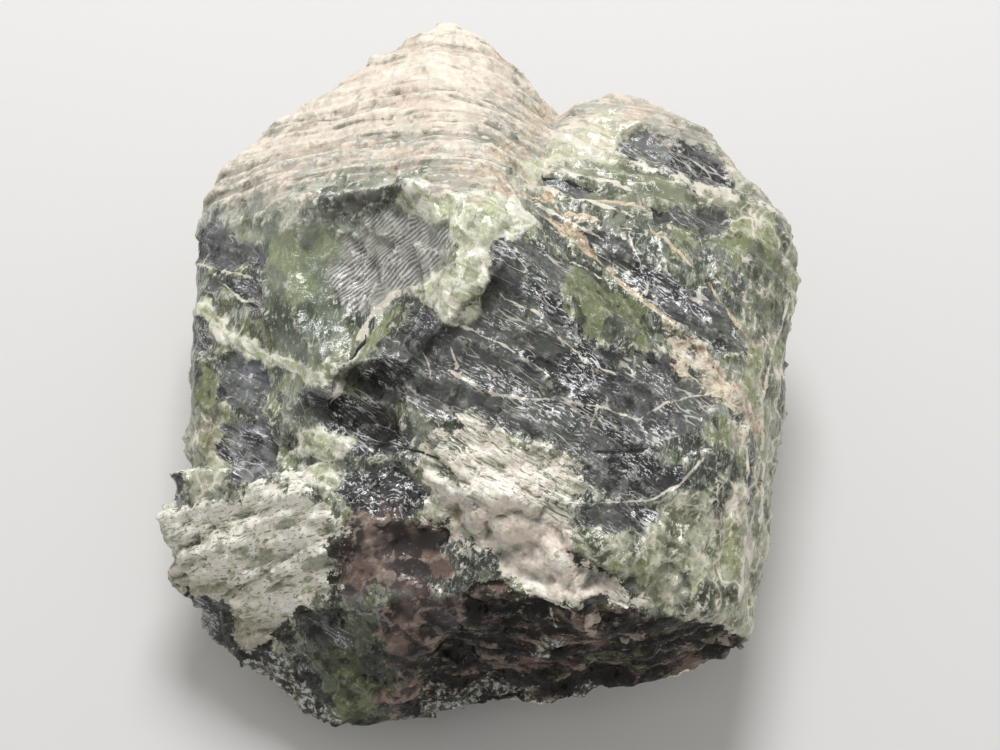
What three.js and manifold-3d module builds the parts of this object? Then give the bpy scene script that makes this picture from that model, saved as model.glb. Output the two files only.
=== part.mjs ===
// A palm-sized lump of rough green apatite: two stout crystals grown side by side, with a bladed
// lobe at one corner. Each crystal is a stack of growth layers, square to its length, which lies
// close to +Y. The front is broken off, and the lump rests on a flat broken face.
// Millimetres, +Z up. The origin is the middle of the lump's footprint.
import * as THREE from "three";
import Module from "manifold-3d";
import { ConvexHull } from "three/addons/math/ConvexHull.js";
import { ImprovedNoise } from "three/addons/math/ImprovedNoise.js";
import { mergeVertices } from "three/addons/utils/BufferGeometryUtils.js";

const wasm = await Module();
wasm.setup();

const { clamp, lerp, smoothstep } = THREE.MathUtils;
const vector = (place) => new THREE.Vector3(...place);

// ---- driving dimensions
const GROWTH_AXIS = vector([0.16, 0.98, -0.1]).normalize(); // the crystals' length
const LAYER = 1.9; // thickness of a growth layer
const LEAF = 1.2; // thickness of a leaf in the bladed and fractured parts
const STEP_HEIGHT_TERMINATION = 0.6; // how far a layer's lip stands out on the sloping end face
const SKIN_THICKNESS = 0.85; // of the green crystal left over the west half
const BAND_THICKNESS = 0.45; // of the leafy band above the front face

// ---- corners of the crystals, before the front is broken off
const PEAK = [-1.9, 27.4, 14.6];
const PEAK_WEST = [-3.6, 26.8, 15.6];
const PEAK_EAST = [0.4, 26.4, 14.8];
const RIDGE_MIDDLE = [-2, 17.3, 20.5];
const SHOULDER = [-10.9, 22.3, 14.5];
const WEST_BACK = [-19.2, 16.5, 13];
const WEST_TOP = [-20.4, 14.1, 12];
const WEST_MIDDLE = [-20.8, 3.6, 12];
const WEST_FRONT = [-20.9, -5.2, 11];
const CREST_WEST = [-12.3, 10.4, 20];
const CREST_MIDDLE = [-3.2, 7.9, 25];
const APEX = [1.7, 3.8, 27];
const NOTCH = [5.4, 22.4, 12];
const SCALLOP_END = [-8.5, -5, 19.5];
const PLATEAU_FRONT = [5.2, -9.2, 22];
const PLATEAU_FRONT_EAST = [10.3, -9.7, 21.5];
const PLATEAU_EAST = [17.3, -6.2, 18];
const BROW_WEST = [-2.5, -17.5, 15.5];
const BROW_MIDDLE = [5.2, -18.8, 17.5];
const BROW_END = [16.8, -19.4, 13.5];

const GREAT_CRYSTAL = {
  corners: [
    PEAK, PEAK_WEST, PEAK_EAST, RIDGE_MIDDLE, SHOULDER, WEST_BACK, WEST_TOP, WEST_MIDDLE,
    WEST_FRONT, CREST_WEST, CREST_MIDDLE, APEX, NOTCH, SCALLOP_END, PLATEAU_FRONT,
    PLATEAU_FRONT_EAST, PLATEAU_EAST, BROW_WEST, BROW_MIDDLE, BROW_END,
    [5.2, -27, 13.5], [-3, -27, 11], [17, -27, 10.5], [2.8, -27, 5], [16, -25, 8],
    [-2.5, 24.5, 5], [-16.5, 15.5, 3.5], [-18.5, -4, 3], [9, 20, 4],
    [-14, 13, -2], [5, 18, -2], [14, 5, -2], [13, -12, -2], [-4, -16, -2], [-14, -8, -2],
  ],
  sides: 48,
  layer: LAYER,
  stepHeight: 0.18,
};
const SIDE_CRYSTAL = {
  corners: [
    [6.5, 21.6, 12.5], [7.6, 21.8, 14], [10.6, 22, 14], [13.4, 21.4, 13.6], [16, 20.1, 14],
    [22.6, 12.3, 13], [22.9, 7.6, 12], [22.2, 0.2, 11], [20.6, -7, 10], [18.8, -18, 9],
    [4, 9.5, 21.3], [10, 6, 21.3], [17, 4, 18.4], [17.5, -5, 17.6], [16.9, -17.5, 14.4],
    [16.8, -24, 9.5], [15.5, -24, 12.8], [20, 11, 3], [19, -9, 4], [12, 19, 4],
    [-8, 8, 8], [-6, -12, 8], [8, 16, -2], [16, 6, -2], [14, -10, -2], [-5, 0, -2],
  ],
  sides: 36,
  layer: LAYER,
  stepHeight: 0.18,
};
const BLADED_LOBE = {
  corners: [
    [-20.5, -7.1, 11.8], [-21.7, -7.6, 10.5], [-22.3, -8.9, 10], [-22.4, -11.1, 9],
    [-21.1, -14.6, 6.5], [-19.1, -16.4, 5], [-14.9, -19, 4], [-10.6, -23, 4], [-9.2, -23.2, 4],
    [-6.5, -23, 4], [-3.4, -21.9, 4], [-9.8, -10.3, 17.2], [-8.5, -12.7, 16.8], BROW_WEST,
    [-12.1, -16.7, 10], [-2, -8, 19], [2.8, -20.8, 4], [-19, -11, 3],
    [-12, 0, -2], [4, -6, -2], [-14, -11, -2], [-5, -17.5, -2],
  ],
  sides: 34,
  layer: LEAF,
  stepHeight: 0.32,
};

const noise = new ImprovedNoise();

/** Smooth random relief of a given grain and height. */
function roughness(point, { grain, height, seed }) {
  return height * noise.noise(point.x / grain + seed, point.y / grain - seed, point.z / grain + seed);
}

/** The flat faces of the smallest convex body round some corners. */
function facesOf(corners) {
  return new ConvexHull().setFromPoints(corners.map(vector)).faces;
}

/** The height of a convex body's top over a place, and a little more. */
function liftedFrom(faces, [x, y], lift) {
  const tops = faces
    .filter(({ normal }) => normal.z > 0.1)
    .map(({ normal, constant }) => (constant - normal.x * x - normal.y * y) / normal.z);
  return [x, y, Math.min(...tops) + lift];
}

/** Corners of a thin skin over some places on the great crystal. */
function skinCorners(places, thickness) {
  const rootDepth = 4; // the skin's own root inside the crystal
  const faces = facesOf(GREAT_CRYSTAL.corners);
  return [
    ...places.map((place) => liftedFrom(faces, place, thickness)),
    ...places.map((place) => liftedFrom(faces, place, -rootDepth)),
  ];
}

const GREEN_SKIN = {
  corners: skinCorners(
    [
      [-16.2, 11], [-12.3, 10.4], [-3.2, 8.2], [1.6, 6], [2.4, 2.8], [1.2, 0], [-2, -2.4],
      [-6.6, -3.4], [-8.8, -6.6], [-12.4, -5], [-15, 3],
    ],
    SKIN_THICKNESS,
  ),
  sides: 34,
  layer: LAYER,
  stepHeight: 0.2,
};
const LEAFY_BAND = {
  corners: skinCorners(
    [
      [-2.5, -8.3], [5.2, -10.7], [10.4, -13.2], [16.2, -14.8], [16.6, -17.4], [10.5, -18.9],
      [5.2, -19.2], [1.4, -18.4], [-2.4, -16], [-3.5, -10.5],
    ],
    BAND_THICKNESS,
  ),
  sides: 26,
  layer: LEAF,
  stepHeight: 0.42,
};

// ---- growth layers
const LIP_SHARE = 0.02; // from a ledge back to its lip, as a share of a layer
const FOOT_SHARE = 0.14; // from a ledge on to its foot
const END_SHARE = 0.12; // from the last ring to the tip
const END_MARGIN = 0.003; // how near a wandering ring may come to the ends, as a share of the crystal
const WAVER = { grain: 6, height: 0.45, seed: 3.7 }; // how a ledge wanders along the axis
const BROAD_RELIEF = { grain: 5.5, height: 0.45, seed: 11.3 };
const FINE_RELIEF = { grain: 2.4, height: 0.15, seed: 5.1 };

/** 1 on the sloping end face, 0 well away from it. */
function onTermination({ x, y, z }) {
  const crest = 10 - 0.12 * x;
  return smoothstep(y, crest - 2, crest + 1) * smoothstep(z, 8, 12);
}

/** Triangles that close a stack of equal rings, with a point at each end. */
function stackIndex(rings, sides) {
  const index = [];
  const butt = rings * sides;
  const lastRing = butt - sides;
  for (let side = 0; side < sides; side += 1) {
    const next = (side + 1) % sides;
    for (let ring = 0; ring < lastRing; ring += sides) {
      index.push(ring + side, ring + next, ring + side + sides);
      index.push(ring + next, ring + next + sides, ring + side + sides);
    }
    index.push(butt, next, side);
    index.push(butt + 1, lastRing + side, lastRing + next);
  }
  return index;
}

/** How far a convex body reaches from a point inside it. */
function reachOf(faces, centre, outward) {
  let reach = Infinity;
  for (const { normal, constant } of faces) {
    const facing = normal.dot(outward);
    if (facing > 1e-6) reach = Math.min(reach, (constant - normal.dot(centre)) / facing);
  }
  return reach;
}

/** A crystal as growth layers: each one swells to a lip, and the next starts behind it. */
function growthStack({ corners, sides, layer, stepHeight }) {
  const faces = facesOf(corners);
  const ordered = corners.map(vector).sort((p, q) => p.dot(GROWTH_AXIS) - q.dot(GROWTH_AXIS));
  const butt = ordered[0];
  const tip = ordered[ordered.length - 1];
  const length = tip.clone().sub(butt).dot(GROWTH_AXIS);
  const layers = Math.round(length / layer);
  const up = new THREE.Vector3(0, 0, 1).addScaledVector(GROWTH_AXIS, -GROWTH_AXIS.z).normalize();
  const across = new THREE.Vector3().crossVectors(GROWTH_AXIS, up);
  const onSkin = (share, outward) => {
    const centre = butt.clone().lerp(tip, share);
    return centre.addScaledVector(outward, reachOf(faces, centre, outward));
  };
  const positions = [];
  const addRing = (share, swell) => {
    for (let side = 0; side < sides; side += 1) {
      const turn = (side / sides) * 2 * Math.PI;
      const outward = up.clone().multiplyScalar(Math.cos(turn)).addScaledVector(across, Math.sin(turn));
      const waver = roughness(onSkin(share, outward), WAVER) / length;
      const point = onSkin(clamp(share + waver, END_MARGIN, 1 - END_MARGIN), outward);
      const step = swell * lerp(stepHeight, STEP_HEIGHT_TERMINATION, onTermination(point));
      const relief = step + roughness(point, BROAD_RELIEF) + roughness(point, FINE_RELIEF);
      positions.push(...point.addScaledVector(outward, relief).toArray());
    }
  };
  for (let ledge = 1; ledge < layers; ledge += 1) {
    addRing((ledge - LIP_SHARE) / layers, 0.5);
    addRing((ledge + FOOT_SHARE) / layers, -0.5);
  }
  addRing((layers - END_SHARE) / layers, 0.5);
  const index = stackIndex(positions.length / 3 / sides, sides);
  positions.push(...butt.toArray(), ...tip.toArray());
  return solid(positions, index);
}

// ---- solids that can be joined and cut
function solid(positions, index) {
  const vertProperties = new Float32Array(positions);
  const triVerts = new Uint32Array(index);
  return new wasm.Manifold(new wasm.Mesh({ numProp: 3, vertProperties, triVerts }));
}

function solidOf(geometry) {
  geometry.deleteAttribute("normal");
  geometry.deleteAttribute("uv");
  const merged = mergeVertices(geometry, 1e-4);
  return solid(merged.attributes.position.array, merged.index.array);
}

function geometryOf(body) {
  const { vertProperties, triVerts } = body.getMesh();
  const geometry = new THREE.BufferGeometry();
  geometry.setAttribute("position", new THREE.BufferAttribute(vertProperties, 3));
  return geometry.setIndex(new THREE.BufferAttribute(triVerts, 1));
}

/** Moves every point of a shape to where a rule says. */
function reshape(geometry, rule) {
  const { position } = geometry.attributes;
  const point = new THREE.Vector3();
  for (let i = 0; i < position.count; i += 1) {
    point.fromBufferAttribute(position, i);
    position.setXYZ(i, ...rule(point).toArray());
  }
  return geometry;
}

// ---- broken faces, each through three points, and a place on the side that broke away
const FRONT_BREAKS = [
  { through: [[-2.5, -17.9, 15.5], [5.2, -18.9, 17.5], [2.8, -21, 4]], away: [0, -40, 10] },
  { through: [[10.4, -19.2, 16.5], [8.4, -20.5, 4.5], [17.6, -18.9, 6]], away: [10, -40, 10] },
  { through: [[2.8, -21, 3.8], [17, -19, 6.8], [8, -13.6, 0]], away: [8, -40, -10] },
];
const LOBE_BREAK = {
  through: [[-12.1, -17, 10.4], [-9.2, -23.8, 4], [-19.1, -16.8, 5]],
  away: [-30, -40, 30],
};
const BREAK_SIZE = 70;
const BREAK_FACET = 2.6; // side of the little facets on a broken face
const BREAK_HEAVES = { grain: 5, height: 0.8, seed: 8.1 };
const BREAK_PITS = { grain: 2, height: 0.5, seed: 8.1 };

/** A block whose rough face lies through three points, to be cut away. */
function breakBlock({ through, away }) {
  const [a, b, c] = through.map(vector);
  const normal = b.clone().sub(a).cross(c.clone().sub(a)).normalize();
  if (normal.dot(vector(away).sub(a)) < 0) normal.negate();
  const facets = Math.round(BREAK_SIZE / BREAK_FACET);
  const block = new THREE.BoxGeometry(BREAK_SIZE, BREAK_SIZE, BREAK_SIZE, facets, facets, 1);
  block.translate(0, 0, BREAK_SIZE / 2);
  block.applyQuaternion(new THREE.Quaternion().setFromUnitVectors(new THREE.Vector3(0, 0, 1), normal));
  block.translate(...a.add(b).add(c).divideScalar(3).toArray());
  return solidOf(reshape(block, (point) =>
    point.addScaledVector(normal, roughness(point, BREAK_HEAVES) + roughness(point, BREAK_PITS)),
  ));
}

// ---- hollows and lumps, each part of an uneven ball
const HOLLOWS = [
  { at: [-9, 2.4, 20.9], outward: [-0.3, -0.1, 1], radius: 11, depth: 1.7 }, // broad shell-shaped scoop
  { at: [-15, -3, 16], outward: [-0.5, 0, 1], radius: 8, depth: 0.8 },
  { at: [-2.2, -1.6, 25.2], outward: [0, -0.3, 1], radius: 2.4, depth: 0.9 }, // scallops of the skin's lip
  { at: [-5.4, -2.8, 23], outward: [0, -0.3, 1], radius: 2.8, depth: 1 },
  { at: [1.6, 0.8, 27], outward: [0, -0.3, 1], radius: 2.2, depth: 0.9 },
  { at: [-7.2, -5.5, 19], outward: [-0.2, -0.2, 1], radius: 3, depth: 1.1 }, // the black pit
  { at: [-4.5, -14.6, 16.8], outward: [-0.2, -0.6, 1], radius: 5.5, depth: 1.3 }, // brown hollow
  { at: [-4.5, -9.5, 19.2], outward: [-0.2, -0.4, 1], radius: 7, depth: 0.6 },
];
const LUMPS = [
  { at: [2.2, -13.4, 20.3], outward: [0, -0.4, 1], length: 3.8, width: 2.4, proud: 0.45 },
  { at: [7.4, -16.2, 19.2], outward: [0, -0.5, 1], length: 4.4, width: 2.6, proud: 0.45 },
  { at: [-1.8, -18, 14.4], outward: [-0.3, -0.9, 0.6], length: 3, width: 2, proud: 0.5 },
  { at: [-5.2, -20, 9], outward: [-0.4, -0.8, 0.6], length: 3.4, width: 2.4, proud: 0.6 },
];
const BALL_FACET = 1.7; // side of a ball's triangles
const BALL_RELIEF = { grain: 2.2, height: 0.3 }; // with a seed of each ball's own

/** A ball, uneven like a fracture, before it is stretched and placed. */
function unevenBall(radius, seed) {
  const detail = Math.max(2, Math.round(radius / BALL_FACET) - 1);
  return reshape(new THREE.IcosahedronGeometry(radius, detail), (point) =>
    point.multiplyScalar(1 + roughness(point, { ...BALL_RELIEF, seed }) / radius),
  );
}

function hollow({ at, outward, radius, depth }, seed) {
  const centre = vector(outward).setLength(radius - depth).add(vector(at));
  return solidOf(unevenBall(radius, seed).translate(...centre.toArray()));
}

/** A lump as thick as it is wide, lying along the growth layers. */
function lumpOn({ at, outward, length, width, proud }, seed) {
  const normal = vector(outward).normalize();
  const along = new THREE.Vector3().crossVectors(GROWTH_AXIS, normal).normalize();
  const over = new THREE.Vector3().crossVectors(normal, along);
  const centre = normal.clone().multiplyScalar(proud - width).add(vector(at));
  const shape = unevenBall(width, seed).scale(length / width, 1, 1);
  shape.applyMatrix4(new THREE.Matrix4().makeBasis(along, over, normal));
  return solidOf(shape.translate(...centre.toArray()));
}

// ---- shallow shell-shaped chips round the sides and underneath
const CHIP_COUNT = 10;
const CHIP_RADIUS = [8, 14];
const CHIP_DEPTH = [0.35, 0.7];
const CHIP_SINES = [-0.1, -0.9]; // of the slope from the heart to the highest and to the lowest chip
const CHIP_SCATTER = 0.4; // radians
const HEART = vector([0, 0, 12]);
const GOLDEN_ANGLE = Math.PI * (3 - Math.sqrt(5));

/** A small repeatable random generator. */
function randomSource(seed) {
  let state = seed;
  return () => {
    state = (state * 1664525 + 1013904223) % 4294967296;
    return state / 4294967296;
  };
}

/** The chips, each where a line from the heart leaves the lump. */
function chipsOf(lump) {
  const random = randomSource(7);
  const target = new THREE.Mesh(geometryOf(lump), new THREE.MeshBasicMaterial({ side: THREE.DoubleSide }));
  return Array.from({ length: CHIP_COUNT }, (_, i) => {
    const sine = lerp(...CHIP_SINES, (i + 0.5) / CHIP_COUNT);
    const turn = i * GOLDEN_ANGLE + CHIP_SCATTER * random();
    const outward = new THREE.Vector3().setFromSphericalCoords(1, Math.acos(sine), turn);
    outward.set(outward.x, outward.z, outward.y);
    const [hit] = new THREE.Raycaster(HEART, outward).intersectObject(target).slice(-1);
    return {
      at: hit.point.toArray(),
      outward: hit.face.normal.toArray(),
      radius: lerp(...CHIP_RADIUS, random()),
      depth: lerp(...CHIP_DEPTH, random()),
    };
  });
}

// ---- the lump
const SEEDS = { hollows: 0.5, lumps: 20.5, chips: 40.5 };
const FLOOR_BLOCK = solidOf(new THREE.BoxGeometry(120, 120, 20).translate(0, 0, -10));

function buildLump() {
  const crystals = [GREAT_CRYSTAL, SIDE_CRYSTAL, GREEN_SKIN, LEAFY_BAND].map(growthStack);
  let lump = crystals.reduce((joined, crystal) => joined.add(crystal));
  for (const face of FRONT_BREAKS) lump = lump.subtract(breakBlock(face));
  lump = lump.add(growthStack(BLADED_LOBE)).subtract(breakBlock(LOBE_BREAK));
  HOLLOWS.forEach((place, i) => {
    lump = lump.subtract(hollow(place, SEEDS.hollows + i));
  });
  LUMPS.forEach((place, i) => {
    lump = lump.add(lumpOn(place, SEEDS.lumps + i));
  });
  chipsOf(lump).forEach((chip, i) => {
    lump = lump.subtract(hollow(chip, SEEDS.chips + i));
  });
  return lump.subtract(FLOOR_BLOCK);
}

const geometry = geometryOf(buildLump());
geometry.computeBoundingBox();
const middle = geometry.boundingBox.getCenter(new THREE.Vector3());
geometry.translate(-middle.x, -middle.y, 0);

const stone = new THREE.Mesh(
  geometry,
  new THREE.MeshStandardMaterial({ color: 0x8a9080, roughness: 0.45, metalness: 0 }),
);
stone.name = "apatite_crystals";

const specimen = new THREE.Group();
specimen.add(stone);
export default specimen;
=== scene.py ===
import math

import bmesh
import bpy
import numpy as np
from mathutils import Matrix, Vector, noise


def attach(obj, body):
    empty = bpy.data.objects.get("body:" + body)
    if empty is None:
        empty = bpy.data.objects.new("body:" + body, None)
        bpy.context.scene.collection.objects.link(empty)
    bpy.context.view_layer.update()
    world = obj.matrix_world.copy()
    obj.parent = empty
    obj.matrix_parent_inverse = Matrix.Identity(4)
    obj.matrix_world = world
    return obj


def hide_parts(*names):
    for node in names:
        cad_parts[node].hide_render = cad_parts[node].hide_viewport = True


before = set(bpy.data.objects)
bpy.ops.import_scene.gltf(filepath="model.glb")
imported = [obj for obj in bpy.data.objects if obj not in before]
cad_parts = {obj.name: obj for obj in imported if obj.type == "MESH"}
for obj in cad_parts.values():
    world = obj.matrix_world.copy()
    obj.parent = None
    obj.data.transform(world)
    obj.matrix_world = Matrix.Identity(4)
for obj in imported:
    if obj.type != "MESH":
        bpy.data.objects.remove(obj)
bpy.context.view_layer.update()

# ---- The stone
# One palm-sized lump of green apatite, two crystals grown together. Its skin is remade here
# from the solid with a fine, even mesh, which the breaks, ledges and flakes are then worked into.
MM = 0.001
GRAIN_SIZE = 0.28 * MM
GROWTH_AXIS = np.array([0.16, 0.98, -0.1])
GROWTH_AXIS /= np.linalg.norm(GROWTH_AXIS)
GROWTH_UP = np.array([0.0, 0.0, 1.0]) - GROWTH_AXIS * GROWTH_AXIS[2]
GROWTH_UP /= np.linalg.norm(GROWTH_UP)
GROWTH_ACROSS = np.cross(GROWTH_AXIS, GROWTH_UP)
FRACTURE_AXIS = np.array([0.5, 0.8, 0.31])
FRACTURE_AXIS /= np.linalg.norm(FRACTURE_AXIS)
FRACTURE_ACROSS = np.cross(FRACTURE_AXIS, (0.0, 0.0, 1.0))
FRACTURE_ACROSS /= np.linalg.norm(FRACTURE_ACROSS)
FRACTURE_UP = np.cross(FRACTURE_ACROSS, FRACTURE_AXIS)

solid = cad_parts["apatite_crystals"]
stone = bpy.data.objects.new("apatite_stone", solid.data.copy())
bpy.context.scene.collection.objects.link(stone)
shell = bmesh.new()
shell.from_mesh(stone.data)
bmesh.ops.remove_doubles(shell, verts=shell.verts, dist=0.001 * MM)
shell.to_mesh(stone.data)
shell.free()
regrain = stone.modifiers.new("regrain", "REMESH")
regrain.mode = "VOXEL"
regrain.voxel_size = GRAIN_SIZE
rough = bpy.data.meshes.new_from_object(stone.evaluated_get(bpy.context.evaluated_depsgraph_get()))
stone.modifiers.clear()
stone.data = rough
skin = stone.data
skin.materials.clear()
count = len(skin.vertices)
ends = np.empty(len(skin.edges) * 2, int)
skin.edges.foreach_get("vertices", ends)
ends = ends.reshape(-1, 2)
neighbours = np.bincount(ends.ravel(), minlength=count)


def places():
    """Where the skin's points are, in millimetres."""
    values = np.empty(count * 3, np.float32)
    skin.vertices.foreach_get("co", values)
    return values.reshape(-1, 3).astype(float) / MM


def facings():
    """Which way the skin faces at each point."""
    values = np.empty(count * 3, np.float32)
    skin.vertices.foreach_get("normal", values)
    return values.reshape(-1, 3).astype(float)


def move_to(spots):
    """Puts the skin's points in new places, given in millimetres."""
    skin.vertices.foreach_set("co", (spots * MM).astype(np.float32).ravel())
    skin.update()


def relaxed(values, times, share=0.5):
    """Each point's value drawn towards the mean of its neighbours' values."""
    for _ in range(times):
        total = np.stack(
            [
                np.bincount(ends[:, 0], column[ends[:, 1]], count)
                + np.bincount(ends[:, 1], column[ends[:, 0]], count)
                for column in values.reshape(count, -1).T
            ],
            axis=1,
        )
        mean = total / neighbours[:, None]
        values = values + share * (mean.reshape(values.shape) - values)
    return values


def ease(values, low, high):
    """0 below low, 1 above high, and a smooth rise between."""
    share = np.clip((values - low) / (high - low), 0, 1)
    return share * share * (3 - 2 * share)


def drift(spots, grain, octaves=1, seed=0.0):
    """Smooth random values about 0, for a grain in millimetres."""
    scaled = np.asarray(spots) / grain + (seed, -seed, 2 * seed)
    if octaves == 1:
        return np.array([noise.noise(spot) for spot in scaled.tolist()])
    return np.array([noise.fractal(spot, 0.9, 2.0, octaves) for spot in scaled.tolist()])


def mottle(spots, grain, octaves, seed, spread=0.3):
    """Smooth random values about a half."""
    return 0.5 + spread * drift(spots, grain, octaves, seed)


def ridges(spots, grain, octaves, seed):
    """Random values that rise to a sharp ridge of 1."""
    return 1 - 2 * np.abs(drift(spots, grain, octaves, seed))


def chips(spots, grain, tilt, seed=0.0):
    """Heights of small tilted flats, one to each cell of broken stone."""
    heights = np.empty(len(spots))
    for number, spot in enumerate((np.asarray(spots) / grain + seed).tolist()):
        nearest = noise.voronoi(spot)[1][0]
        turn = noise.cell_vector(nearest * 7.31) * 2 - Vector((1, 1, 1))
        heights[number] = (Vector(spot) - nearest).dot(turn)
    return heights * grain * tilt


# ---- Where the sorts of stone lie
# The lump shows some ten sorts of surface. Each has an outline on the side that lies uppermost,
# drawn as seen from 65 degrees above the front; round the back and below they follow the growth.
VIEW_TILT = math.radians(65)
VIEW_BACK = np.array([0, -math.cos(VIEW_TILT), math.sin(VIEW_TILT)])
VIEW_UP = np.array([0, math.sin(VIEW_TILT), math.cos(VIEW_TILT)])
VIEW_DISTANCE = 155.56
AIM = np.array([-0.3445, -2.211, 12.0])

RIND_WEST = [
    (-24, 11.8), (-24, 16), (-17, 22), (-10, 26), (-2, 30), (3, 28), (7, 23), (5.3, 19.7),
    (3.9, 18.3), (2.3, 16.2), (2.0, 13.0), (-0.6, 12.7), (-2.7, 12.3), (-4.5, 14.3), (-6.6, 14.4),
    (-9.7, 13.6), (-12.5, 12.8), (-15.2, 12.1), (-17.8, 11.5),
]
RIND_EAST = [
    (4.4, 23), (13, 25), (20, 21), (25, 15), (25, 10.6), (21.9, 10.4), (20.7, 12.1), (17.9, 14.6),
    (15.5, 16.3), (12.7, 17.3), (10.9, 17.9), (8.5, 18.1), (5.7, 16.5), (3.6, 14.8), (2.3, 14.1),
    (1.4, 15.4), (3, 18.4),
]
FRACTURED_BAND = [
    (-2.7, -3.8), (-0.6, -3.5), (1.5, -4), (4.6, -4.9), (6.7, -6), (7.8, -7.3), (8.5, -8.5),
    (6.7, -9.2), (6.5, -10.2), (7.9, -10.9), (6.5, -11.6), (5.8, -12.5), (7.2, -13.3),
    (8.5, -14), (11.3, -15), (12, -15.8), (10.2, -16), (8.5, -15.5), (6.2, -16.2),
    (4.3, -15.7), (2.9, -15), (1.7, -13.7), (1.3, -12.6), (-0.6, -12), (-2.3, -10.9),
    (-3.4, -10.1), (-4.1, -8.7), (-3.9, -6.6), (-4.1, -5.2), (-3.4, -4.5),
]
LOBE_FIBRES = [
    (-23, -9), (-19.5, -8.6), (-16.4, -8.5), (-14.6, -7.3), (-12.5, -6.6), (-11.7, -8.3),
    (-10.4, -9.7), (-9.2, -10.8), (-10, -12.6), (-9.6, -13.9), (-10.6, -15.4), (-12.2, -16.6),
    (-13.6, -17.9), (-14.8, -19), (-16.4, -18.8), (-17.6, -16.7), (-19.5, -15.3), (-20.9, -15.4),
    (-22.1, -14.7), (-22.9, -12.2),
]
LOBE_EDGE = [
    (-17.4, -17.6), (-15.6, -18.4), (-13.8, -19.6), (-12.2, -21.2), (-10.8, -23), (-9.8, -24.7),
    (-11.6, -24.8), (-13.2, -22.9), (-15.4, -20.8), (-17.6, -19.4),
]
CRUMB = [(4, -18.5), (4.8, -18.3), (5.4, -18.8), (5.2, -19.5), (4.2, -19.7)]
FOOT_RIM = [
    (-4.1, -22.1), (-2.7, -21.6), (0.1, -21.4), (1.5, -22.1), (4.3, -22.4), (7.1, -21.6),
    (9.3, -21), (8.5, -22.2), (5.7, -23.2), (1.5, -23.3), (-1.3, -23.2), (-3.6, -24.2),
]
CREVICE_RIM = [
    (13.4, 3.4), (14.8, 2.3), (15.9, 1.4), (17.1, 0.1), (18.2, -1.4), (19.2, -3.5), (18.8, -4.3),
    (17.7, -2.5), (16.5, -1.2), (15.4, -0.1), (14.3, 1.1), (13.2, 2.5),
]
WEST_BAND = [
    (-20, 5.6), (-18.4, 4.7), (-17, 3.2), (-15.7, 2.1), (-13.8, 1.2), (-11.3, 0.7), (-10.6, -0.2),
    (-13.4, -0.1), (-15.7, 0.9), (-17.3, 2.1), (-18.8, 3.5), (-20.2, 4.5),
]
GLASS = [
    (1.5, 10.6), (2.5, 10.8), (3.6, 9.5), (5.7, 8.8), (6.7, 8), (6.1, 6), (6.7, 3.9), (7.8, 2.2),
    (9.9, 1.4), (12, 1.8), (14.8, 1), (15.9, -0.1), (16.3, -1.8), (15.5, -3.6), (13.7, -4.5),
    (11.3, -5.3), (8.8, -6.4), (6.4, -5.9), (4.6, -4.8), (2.2, -3.9), (0.1, -3.6), (-1.7, -3.1),
    (-3.4, -2.7), (-5.5, -1.7), (-9, -1.5), (-8.3, -0.3), (-7.3, 1.5), (-5.9, 3.6), (-4.1, 5),
    (-2.7, 3.9), (-1.3, 3.6), (-0.1, 4.6), (0.8, 6.4), (0.4, 8.1), (0.8, 9.5),
]
GLASS_EAST = [
    (6.2, 9.8), (8.5, 10.2), (10.2, 9.3), (11.6, 8), (13.2, 6.9), (15.5, 6.2), (17.4, 4.9),
    (18.4, 3.4), (18.6, 2), (17, 1.7), (15.6, 2.2), (14.8, 3.2), (13, 4.5), (11.3, 5.3),
    (9.7, 6.4), (8.5, 7.9), (7.1, 8.8),
]
GLASS_BACK = [
    (9.9, 17.1), (12, 17.2), (14.8, 16.7), (16.6, 15.8), (17.2, 14.3), (18.1, 12.8),
    (15.5, 13.3), (12.7, 14.3), (11.1, 14.8), (9.7, 15.3),
]
GLASS_SHELF = [
    (11.7, 11.8), (14.1, 12), (16.5, 11.8), (17.7, 10.9), (17.3, 9.8), (14.8, 10.3), (12.3, 10.5),
]
WEST_PANES = [
    [(-20.2, 10.5), (-18.5, 10.6), (-16.9, 9.5), (-15.2, 9), (-15.1, 7.4), (-17.4, 7.7),
     (-19.7, 8.1), (-20.4, 8.8)],
    [(-19.2, 7.1), (-15.2, 6.5), (-15.2, 5.3), (-16.2, 4.9), (-17.4, 6), (-19, 6)],
    [(-20.9, 3.2), (-18.5, 2.9), (-19.2, 1.4), (-20.8, 1.7)],
    [(-18, 1.7), (-16.7, 2.2), (-15.2, 0.4), (-14.7, -1), (-15.2, -2.7), (-16.7, -2.6),
     (-17.8, -1.7), (-18.6, 0.1)],
    [(-17.9, -3.4), (-15.2, -2.8), (-14.2, -4.5), (-13.7, -6.4), (-15.1, -7.4), (-16.7, -7.3),
     (-18, -5.7)],
    [(-22.8, -6.6), (-21.2, -5.9), (-20.7, -7.3), (-20.9, -8.8), (-23, -9)],
]
PIT = [
    (-12.5, -0.8), (-9.7, -1), (-7.8, -1.5), (-6.4, -2), (-5.3, -3.8), (-5.4, -5.3), (-6.6, -5.7),
    (-8.9, -5.4), (-10.1, -4.3), (-11.3, -3.4),
]
BLACK_GLOSS = [
    (-10.1, -6.3), (-8, -6.4), (-5.4, -6.4), (-3.6, -7.8), (-3.4, -9.1), (-5.4, -10.2),
    (-7.6, -9.9), (-9.4, -8.9), (-10.6, -7.6),
]
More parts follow.
